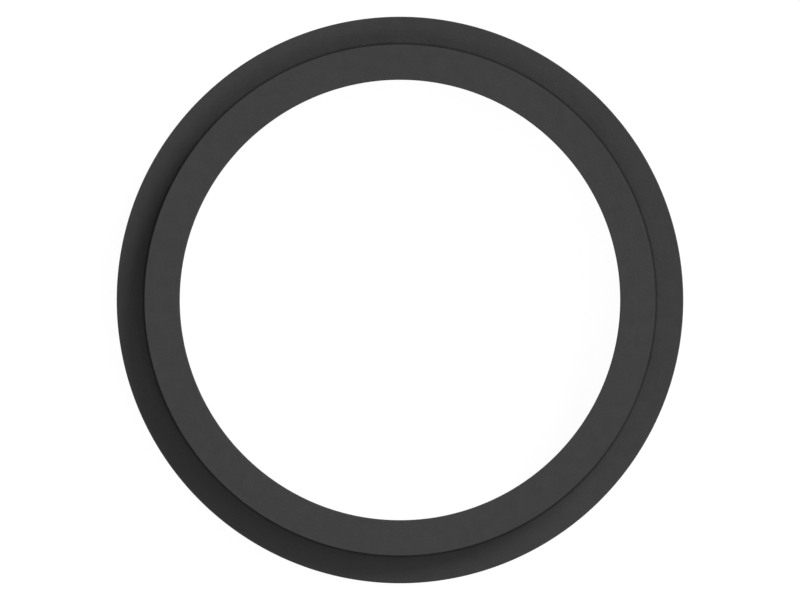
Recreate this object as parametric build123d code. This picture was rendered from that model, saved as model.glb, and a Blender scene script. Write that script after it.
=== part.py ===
from build123d import *
import os

# Sanitary clamp gasket for a 2-1/2 inch tube joint, lying flat.
# One moulded rubber ring. Millimetres, +Z up. The origin is on the bore axis, in the
# plane of the lower land face, so the ring rests on z = 0.
#
# The section is a T on its side: a thick inner land around the bore, and a thin outer
# rim at half height that the two ferrule flanges grip. Both faces are alike.

# ---- driving dimensions -------------------------------------------------------------
bore_d = 60.2          # tube bore of a 2-1/2 inch sanitary joint
land_d = 69.86         # outside of the thick land, at the step
rim_d = 77.5           # outside of the ring, flush with the ferrule flanges
land_t = 6.4           # full thickness, land face to land face
rim_t = 1.6            # thickness of the outer rim

bore_edge_r = 0.12     # moulded corner radii; the land's outer edge is a true corner,
rim_edge_r = 0.10      # and so is the foot of the step, where the rim meets its wall

# ---- derived ------------------------------------------------------------------------
r_bore, r_land, r_rim = bore_d / 2, land_d / 2, rim_d / 2
z_mid = land_t / 2
z_rim_top = z_mid + rim_t / 2
z_rim_low = z_mid - rim_t / 2
step_h = (land_t - rim_t) / 2

# ---- section in the XZ plane: x is the radius, y is the height ------------------------
land = Pos((r_bore + r_land) / 2, z_mid) * Rectangle(r_land - r_bore, land_t)
rim = Pos((r_land + r_rim) / 2, z_mid) * Rectangle(r_rim - r_land, rim_t)
section = land + rim


def corner(face, x, y, radius):
    near = [v for v in face.vertices() if abs(v.X - x) < 1e-4 and abs(v.Y - y) < 1e-4]
    return fillet(near, radius)


for y in (0.0, land_t):
    section = corner(section, r_bore, y, bore_edge_r)
for y in (z_rim_low, z_rim_top):
    section = corner(section, r_rim, y, rim_edge_r)

# ---- the ring -------------------------------------------------------------------------
gasket = revolve(Plane.XZ * section, axis=Axis.Z, revolution_arc=360)
gasket = gasket.solid() if not isinstance(gasket, Solid) else gasket
gasket.label = "gasket"

os.makedirs("parts", exist_ok=True)
export_step(gasket, "parts/gasket.step")

print("step height", round(step_h, 3), "mm")
print("solids", len(gasket.solids()), "faces", len(gasket.faces()))
print("volume", round(gasket.volume, 1), "mm3", "box", gasket.bounding_box())
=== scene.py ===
import math

import bpy
import numpy as np
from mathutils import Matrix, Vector


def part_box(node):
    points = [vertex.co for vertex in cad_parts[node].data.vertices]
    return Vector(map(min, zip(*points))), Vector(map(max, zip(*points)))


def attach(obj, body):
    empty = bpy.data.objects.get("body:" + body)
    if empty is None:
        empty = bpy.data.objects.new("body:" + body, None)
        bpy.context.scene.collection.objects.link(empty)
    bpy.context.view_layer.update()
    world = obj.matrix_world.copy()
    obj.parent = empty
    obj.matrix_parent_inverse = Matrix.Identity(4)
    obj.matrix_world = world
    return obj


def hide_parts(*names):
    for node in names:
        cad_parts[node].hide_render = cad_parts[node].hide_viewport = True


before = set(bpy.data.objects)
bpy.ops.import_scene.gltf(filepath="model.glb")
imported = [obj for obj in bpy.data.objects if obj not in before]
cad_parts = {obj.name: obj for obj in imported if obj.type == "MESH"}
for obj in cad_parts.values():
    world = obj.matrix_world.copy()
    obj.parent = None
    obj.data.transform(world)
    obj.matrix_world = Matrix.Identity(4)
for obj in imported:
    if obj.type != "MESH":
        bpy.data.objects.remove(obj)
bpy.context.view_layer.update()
MM = 0.001

# ------------------------------------------------------------------------------------
# The ring's section, as the CAD has it. Radii and heights in millimetres. The outer
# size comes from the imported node, the rest repeats part.py's driving dimensions.
# ------------------------------------------------------------------------------------
lo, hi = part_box("gasket")
R_RIM = hi[0] / MM
LAND_T = (hi[2] - lo[2]) / MM
Z0 = lo[2] / MM
R_BORE = 30.10
R_LAND = 34.93
RIM_T = 1.60
BORE_EDGE, RIM_EDGE = 0.12, 0.10

Z_MID = Z0 + LAND_T / 2
Z_TOP = Z0 + LAND_T
RIM_HI = Z_MID + RIM_T / 2
SEGMENTS = 720          # round the ring, and a multiple of the nine bake strips
HOLD = 0.015            # loops this close to a corner keep the flats flat
WALL_STEP = 1.2         # longest run between two loops on a flat


def arc(cx, cy, r, a0, a1, n):
    """Points of an arc, degrees, both ends included."""
    return [
        (cx + r * math.cos(math.radians(a0 + (a1 - a0) * i / n)),
         cy + r * math.sin(math.radians(a0 + (a1 - a0) * i / n)))
        for i in range(n + 1)
    ]


def upper_half():
    """The section from the bore wall at half height, over the land and down the step,
    along the rim and round to half height on the outside."""
    runs = [
        [(R_BORE, Z_MID)],
        arc(R_BORE + BORE_EDGE, Z_TOP - BORE_EDGE, BORE_EDGE, 180, 90, 7),
        [(R_LAND, Z_TOP)],
        [(R_LAND, RIM_HI)],
        arc(R_RIM - RIM_EDGE, RIM_HI - RIM_EDGE, RIM_EDGE, 90, 0, 7),
        [(R_RIM, Z_MID)],
    ]
    return runs


def joined(runs):
    """One line of points with holding loops on every flat between two runs."""
    line = list(runs[0])
    for run in runs[1:]:
        (x0, y0), (x1, y1) = line[-1], run[0]
        length = math.hypot(x1 - x0, y1 - y0)
        if length > 1e-9:
            stops = []
            if length > 3 * HOLD:
                inner = length - 2 * HOLD
                n = max(1, math.ceil(inner / WALL_STEP))
                stops = [HOLD + inner * i / n for i in range(n + 1)]
            for s in stops:
                t = s / length
                line.append((x0 + (x1 - x0) * t, y0 + (y1 - y0) * t))
            line += run
        else:
            line += run[1:]
    return line


def section():
    up = joined(upper_half())
    down = [(x, 2 * Z_MID - y) for x, y in reversed(up)][1:-1]
    return np.array(up + down)


def build_ring():
    prof = section() * MM                       # closed loop of P points
    P, N = len(prof), SEGMENTS
    ang = np.arange(N) * 2 * math.pi / N
    co = np.empty((N, P, 3))
    co[:, :, 0] = np.cos(ang)[:, None] * prof[None, :, 0]
    co[:, :, 1] = np.sin(ang)[:, None] * prof[None, :, 0]
    co[:, :, 2] = prof[None, :, 1]
    i = np.arange(N)[:, None]
    j = np.arange(P)[None, :]
    i1, j1 = (i + 1) % N, (j + 1) % P
    # the section runs bore, land, rim, underside, so this order faces outwards
    quads = np.stack(
        [i * P + j, i * P + j1, i1 * P + j1, i1 * P + j], -1
    ).reshape(-1, 4)
    me = bpy.data.meshes.new("gasket_ring")
    me.from_pydata(co.reshape(-1, 3).tolist(), [], quads.tolist())
    me.validate()

    # Bake layout: nine strips of 40 degrees, three by three, each with the whole
    # section down it, so that every face of the ring gets the same share of the map.
    run = np.concatenate([[0], np.cumsum(np.hypot(*np.diff(
        np.vstack([prof, prof[:1]]), axis=0).T))])
    v = 1 - run / run[-1]
    per = N // 9
    uv = np.empty((N, P, 4, 2))
    pad = 0.004
    strip = np.arange(N) // per
    u0 = (np.arange(N) % per) / per
    u1 = u0 + 1 / per
    col, row = strip % 3, strip // 3

    def place(u, w, col=col, row=row):
        return (
            (col[:, None] + pad * 3 + (1 - pad * 6) * u[:, None]) / 3 + 0 * w,
            (row[:, None] + pad * 3 + (1 - pad * 6) * w) / 3 + 0 * u[:, None],
        )

    va, vb = v[None, :-1] + np.zeros((N, 1)), v[None, 1:] + np.zeros((N, 1))
    for k, (u, w) in enumerate(((u0, va), (u0, vb), (u1, vb), (u1, va))):
        x, y = place(u, w)
        uv[:, :, k, 0], uv[:, :, k, 1] = x, y
    layer = me.uv_layers.new(name="OFBake")
    layer.data.foreach_set("uv", uv.reshape(-1))

    me.polygons.foreach_set("use_smooth", [True] * len(me.polygons))

    # true corners, where the shading breaks: the land's outer edge and the foot of the
    # step
    corner = [
        k for k, (x, y) in enumerate(prof / MM) for h in (LAND_T / 2, RIM_T / 2)
        if abs(x - R_LAND) < 1e-6 and abs(abs(y - Z_MID) - h) < 1e-6
    ]
    ends = np.empty(len(me.edges) * 2, dtype=np.int32)
    me.edges.foreach_get("vertices", ends)
    ends = ends.reshape(-1, 2) % P
    sharp = (ends[:, 0] == ends[:, 1]) & np.isin(ends[:, 0], corner)
    mark = me.attributes.new("sharp_edge", "BOOLEAN", "EDGE")
    mark.data.foreach_set("value", sharp)
    me.update()
    ob = bpy.data.objects.new("gasket_ring", me)
    bpy.context.scene.collection.objects.link(ob)
    return ob


# ------------------------------------------------------------------------------------
# Material: matte black moulded rubber. The mould leaves a fine even grain, a faint
# orange peel and a slightly uneven bloom. A thin blacker line at the foot of the step
# is painted shade: the colour is darkened in that corner, where shade falls. All of
# it is laid out in the ring's own coordinates.
# ------------------------------------------------------------------------------------
def rubber():
    mat = bpy.data.materials.new("black_rubber")
    mat.use_nodes = True
    nt = mat.node_tree
    nt.nodes.clear()
    new, link = nt.nodes.new, nt.links.new
    out = new("ShaderNodeOutputMaterial")
    bsdf = new("ShaderNodeBsdfPrincipled")
    link(bsdf.outputs["BSDF"], out.inputs["Surface"])
    bsdf.inputs["Metallic"].default_value = 0.0
    bsdf.inputs["IOR"].default_value = 1.5
    bsdf.inputs["Specular IOR Level"].default_value = 0.42

    tc = new("ShaderNodeTexCoord")

    def noise(scale, detail, rough, distort=0.0):
        n = new("ShaderNodeTexNoise")
        n.noise_dimensions = "3D"
        n.inputs["Scale"].default_value = scale
        n.inputs["Detail"].default_value = detail
        n.inputs["Roughness"].default_value = rough
        n.inputs["Distortion"].default_value = distort
        link(tc.outputs["Object"], n.inputs["Vector"])
        return n

    bloom = noise(95.0, 3.0, 0.5, 0.3)       # patches of about 10 mm
    mottle = noise(620.0, 4.0, 0.55)         # 1.6 mm
    grain = noise(4200.0, 3.0, 0.6)          # 0.24 mm
    peel = noise(1500.0, 2.0, 0.5)           # 0.7 mm

    # the mould was turned, so its tool marks run round the ring: circles on the faces,
    # hoops on the walls. Radius plus height changes across both.
    xyz = new("ShaderNodeSeparateXYZ")
    link(tc.outputs["Object"], xyz.inputs[0])
    level = new("ShaderNodeCombineXYZ")
    link(xyz.outputs["X"], level.inputs["X"])
    link(xyz.outputs["Y"], level.inputs["Y"])
    radius = new("ShaderNodeVectorMath")
    radius.operation = "LENGTH"
    link(level.outputs["Vector"], radius.inputs[0])
    across = new("ShaderNodeMath")
    across.operation = "ADD"
    link(radius.outputs["Value"], across.inputs[0])
    link(xyz.outputs["Z"], across.inputs[1])
    turned = new("ShaderNodeTexNoise")
    turned.noise_dimensions = "1D"
    turned.inputs["Scale"].default_value = 3400.0        # 0.3 mm
    turned.inputs["Detail"].default_value = 2.0
    turned.inputs["Roughness"].default_value = 0.6
    link(across.outputs["Value"], turned.inputs["W"])

    # distance in section from the foot of the step, the same on both faces
    def sums(operation, a, b):
        n = new("ShaderNodeMath")
        n.operation = operation
        link(a, n.inputs[0])
        if isinstance(b, float):
            n.inputs[1].default_value = b
        else:
            link(b, n.inputs[1])
        return n.outputs["Value"]

    off_mid = new("ShaderNodeMath")
    off_mid.operation = "ABSOLUTE"
    link(sums("SUBTRACT", xyz.outputs["Z"], Z_MID * MM), off_mid.inputs[0])
    from_foot = new("ShaderNodeCombineXYZ")
    link(sums("SUBTRACT", radius.outputs["Value"], R_LAND * MM), from_foot.inputs["X"])
    link(sums("SUBTRACT", off_mid.outputs["Value"], RIM_T / 2 * MM), from_foot.inputs["Y"])
    near = new("ShaderNodeVectorMath")
    near.operation = "LENGTH"
    link(from_foot.outputs["Vector"], near.inputs[0])
    # the painted shade line's edge wanders by a few hundredths of a millimetre
    wander = sums("MULTIPLY", sums("SUBTRACT", mottle.outputs["Fac"], 0.5), 0.16 * MM)
    # painted shade: the colour falls to 0.48 of itself near the foot of the step and stands in
    # for the shade in that corner
    painted_corner_shade = new("ShaderNodeMapRange")
    painted_corner_shade.interpolation_type = "SMOOTHSTEP"
    painted_corner_shade.inputs["From Min"].default_value = 0.15 * MM
    painted_corner_shade.inputs["From Max"].default_value = 0.41 * MM
    painted_corner_shade.inputs["To Min"].default_value = 0.48
    painted_corner_shade.inputs["To Max"].default_value = 1.0
    link(sums("ADD", near.outputs["Value"], wander), painted_corner_shade.inputs["Value"])

    def ramp(source, stops):
        r = new("ShaderNodeValToRGB")
        e = r.color_ramp.elements
        e[0].position, e[0].color = stops[0][0], (*[stops[0][1]] * 3, 1)
        e[1].position, e[1].color = stops[-1][0], (*[stops[-1][1]] * 3, 1)
        for p, c in stops[1:-1]:
            x = e.new(p)
            x.color = (c, c, c, 1)
        link(source.outputs["Fac"], r.inputs["Fac"])
        return r

    def mixed(blend, fac, a, b):
        m = new("ShaderNodeMix")
        m.data_type = "RGBA"
        m.blend_type = blend
        m.inputs[0].default_value = fac
        link(a, m.inputs[6])
        link(b, m.inputs[7])
        return m.outputs[2]

    base = ramp(bloom, [(0.30, 0.0405), (0.70, 0.0435)])
    fleck = ramp(mottle, [(0.28, 0.94), (0.5, 1.0), (0.72, 1.05)])
    fine = ramp(grain, [(0.30, 0.93), (0.5, 1.0), (0.70, 1.06)])
    colour = mixed("MULTIPLY", 1.0, base.outputs["Color"], fleck.outputs["Color"])
    colour = mixed("MULTIPLY", 1.0, colour, fine.outputs["Color"])
    # the painted corner shade darkens the colour here
    colour = mixed("MULTIPLY", 1.0, colour, painted_corner_shade.outputs["Result"])
    link(colour, bsdf.inputs["Base Color"])

    rough = new("ShaderNodeMapRange")
    rough.inputs["From Min"].default_value = 0.3
    rough.inputs["From Max"].default_value = 0.7
    rough.inputs["To Min"].default_value = 0.54
    rough.inputs["To Max"].default_value = 0.66
    link(mottle.outputs["Fac"], rough.inputs["Value"])
    link(rough.outputs["Result"], bsdf.inputs["Roughness"])

    b1 = new("ShaderNodeBump")
    b1.inputs["Strength"].default_value = 0.4
    b1.inputs["Distance"].default_value = 0.00004
    link(peel.outputs["Fac"], b1.inputs["Height"])
    b2 = new("ShaderNodeBump")
    b2.inputs["Strength"].default_value = 0.6
    b2.inputs["Distance"].default_value = 0.00002
    link(grain.outputs["Fac"], b2.inputs["Height"])
    link(b1.outputs["Normal"], b2.inputs["Normal"])
    b3 = new("ShaderNodeBump")
    b3.inputs["Strength"].default_value = 0.4
    b3.inputs["Distance"].default_value = 0.00002
    link(turned.outputs["Fac"], b3.inputs["Height"])
    link(b2.outputs["Normal"], b3.inputs["Normal"])
    link(b3.outputs["Normal"], bsdf.inputs["Normal"])
    return mat


ring = build_ring()
ring.data.materials.append(rubber())
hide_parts("gasket")
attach(ring, "root")

# ------------------------------------------------------------------------------------
# Stage: pale floor, soft lights, camera straight above.
# ------------------------------------------------------------------------------------
def floor_material():
    mat = bpy.data.materials.new("floor_white")
    mat.use_nodes = True
    nt = mat.node_tree
    b = nt.nodes["Principled BSDF"] if "Principled BSDF" in nt.nodes else None
    if b is None:
        nt.nodes.clear()
        b = nt.nodes.new("ShaderNodeBsdfPrincipled")
        o = nt.nodes.new("ShaderNodeOutputMaterial")
        nt.links.new(b.outputs[0], o.inputs[0])
    b.inputs["Base Color"].default_value = (0.14, 0.14, 0.14, 1)
    b.inputs["Roughness"].default_value = 0.9
    b.inputs["Specular IOR Level"].default_value = 0.0
    b.inputs["Emission Color"].default_value = (1, 1, 1, 1)

    # The floor glows far past white. Under the ring and its overhanging rim the glow is
    # turned down, a painted shadow, so the floor there is dark. Seen from above the ring
    # covers all of it.
    new, link = nt.nodes.new, nt.links.new
    tc = new("ShaderNodeTexCoord")
    level = new("ShaderNodeVectorMath")
    level.operation = "MULTIPLY"
    level.inputs[1].default_value = (1, 1, 0)
    link(tc.outputs["Object"], level.inputs[0])
    radius = new("ShaderNodeVectorMath")
    radius.operation = "LENGTH"
    link(level.outputs["Vector"], radius.inputs[0])
    share = new("ShaderNodeMath")
    share.operation = "DIVIDE"
    share.inputs[1].default_value = R_RIM * MM
    link(radius.outputs["Value"], share.inputs[0])
    # painted shadow: the floor's glow drops to 0.10 under the ring and rises back to white at
    # the rim's edge
    glow_and_painted_shadow = new("ShaderNodeValToRGB")
    e = glow_and_painted_shadow.color_ramp.elements
    white, painted_shadow = (0.95, 0.95, 0.95, 1), (0.10, 0.10, 0.10, 1)
    e[0].position, e[0].color = (R_BORE + 0.02) / R_RIM, white
    e[1].position, e[1].color = 0.995, white
    for r, c in ((R_BORE + 0.10, painted_shadow), (R_LAND, painted_shadow), (R_LAND + 1.9, (0.34, 0.34, 0.34, 1))):
        e.new(r / R_RIM).color = c
    link(share.outputs["Value"], glow_and_painted_shadow.inputs["Fac"])
    link(glow_and_painted_shadow.outputs["Color"], b.inputs["Emission Strength"])
    return mat


me = bpy.data.meshes.new("floor")
S = 6.0
z = lo[2] - 0.00001
me.from_pydata([(-S, -S, z), (S, -S, z), (S, S, z), (-S, S, z)], [], [(0, 1, 2, 3)])
floor = bpy.data.objects.new("floor", me)
bpy.context.scene.collection.objects.link(floor)
me.materials.append(floor_material())

# Each lamp: azimuth (0 = +X, anticlockwise seen from above), elevation, apparent
# radius, and its share of the light on a level face.
LAMPS = {
    "key": (44.9, 18.8, 17.8, 0.343),
    "fill_low": (271.8, 41.6, 14.8, 0.068),
    "fill_high": (312.4, 43.9, 8.3, 0.049),
    "side": (6.2, 23.3, 22.3, 0.078),
    "back": (212.9, 11.0, 10.0, 0.036),
}
SKY = 0.260
LEVEL = 1.0             # radiance of a white level card

for name, (az, el, rad, share) in LAMPS.items():
    d = bpy.data.lights.new(name, "SUN")
    d.energy = LEVEL * share * math.pi / math.sin(math.radians(el))
    d.angle = math.radians(2 * rad)
    ob = bpy.data.objects.new(name, d)
    a, e = math.radians(az), math.radians(el)
    away = Vector((math.cos(a) * math.cos(e), math.sin(a) * math.cos(e), math.sin(e)))
    ob.rotation_mode = "QUATERNION"
    ob.rotation_quaternion = away.to_track_quat("Z", "Y")
    ob.location = away * 0.5
    bpy.context.scene.collection.objects.link(ob)

world = bpy.data.worlds.new("studio")
bpy.context.scene.world = world
world.use_nodes = True
wn = world.node_tree
wn.nodes.clear()
wo = wn.nodes.new("ShaderNodeOutputWorld")
sky = wn.nodes.new("ShaderNodeBackground")
sky.inputs["Color"].default_value = (1, 1, 1, 1)
sky.inputs["Strength"].default_value = SKY * LEVEL
seen = wn.nodes.new("ShaderNodeBackground")
seen.inputs["Color"].default_value = (1, 1, 1, 1)
seen.inputs["Strength"].default_value = 1.0
path = wn.nodes.new("ShaderNodeLightPath")
mix = wn.nodes.new("ShaderNodeMixShader")
wn.links.new(path.outputs["Is Camera Ray"], mix.inputs[0])
wn.links.new(sky.outputs[0], mix.inputs[1])
wn.links.new(seen.outputs[0], mix.inputs[2])
wn.links.new(mix.outputs[0], wo.inputs["Surface"])

cam_data = bpy.data.cameras.new("camera")
cam_data.type = "ORTHO"
cam_data.ortho_scale = 800 * (R_RIM * MM / 283.37)
cam_data.clip_start, cam_data.clip_end = 0.01, 10.0
cam = bpy.data.objects.new("camera", cam_data)
cam.location = (0, 0, 0.5)
bpy.context.scene.collection.objects.link(cam)
bpy.context.scene.camera = cam

vs = bpy.context.scene.view_settings
vs.view_transform = "Standard"
vs.look = "None"
vs.exposure = 0.0
vs.gamma = 1.0
